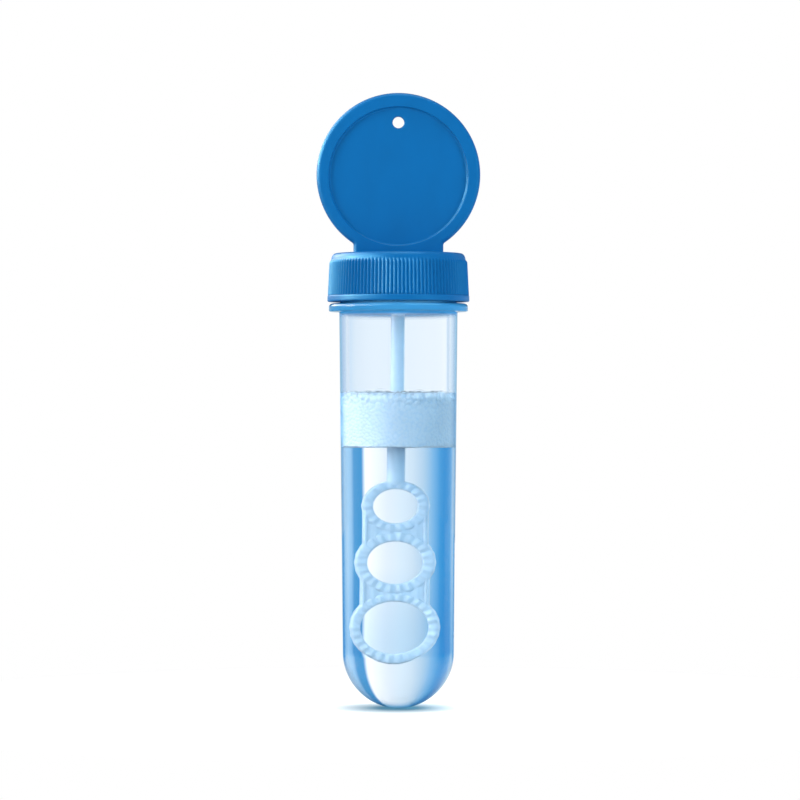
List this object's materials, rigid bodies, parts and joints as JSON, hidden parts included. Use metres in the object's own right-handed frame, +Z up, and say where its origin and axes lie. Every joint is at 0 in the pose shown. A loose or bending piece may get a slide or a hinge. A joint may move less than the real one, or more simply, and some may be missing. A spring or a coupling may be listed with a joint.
{
  "type": "bubble blower",
  "caption": "Round-ended tube of bubble solution with a ribbed screw cap, a round flat paddle to hold it by and a ringed wand.",
  "frame": {"origin": "on the tube's axis, in the plane of the flange's flat underside, where a rack carries the tube", "axes": "+Z up along the tube's axis towards the paddle, -Y out of the paddle's front face, +X to the right seen from the front"},
  "size_m": [0.0346, 0.03, 0.13],
  "materials": {
    "tube_plastic": "gloss",
    "solution": "polished",
    "foam": "satin",
    "liner": "matte",
    "wand_plastic": "satin",
    "cap_plastic": "satin"
  },
  "bodies": {
    "tube": {"tube": "tube_plastic", "bubble_solution": "solution", "foam_head": "foam"},
    "sealing_liner": {"sealing_liner": "liner"},
    "wand": {"wand": "wand_plastic"},
    "screw_cap": {"screw_cap": "cap_plastic"}
  },
  "joints": [
    {"name": "wand_lift_out", "type": "slide", "parent": "tube", "child": "sealing_liner", "axis": [0, 0, 1], "range_m": [0, 0.095]},
    {"name": "cap_rise", "type": "slide", "parent": "sealing_liner", "child": "wand", "axis": [0, 0, 1], "range_m": [0, 0.00292]},
    {"name": "cap_turn", "type": "hinge", "parent": "wand", "child": "screw_cap", "pos_m": [0, 0, 0.0021], "axis": [0, 0, 1], "range_deg": [0, 247]}
  ],
  "couplings": [
    {"joint": "cap_rise", "follows": "cap_turn", "m_per_rad": 0.0006737}
  ]
}
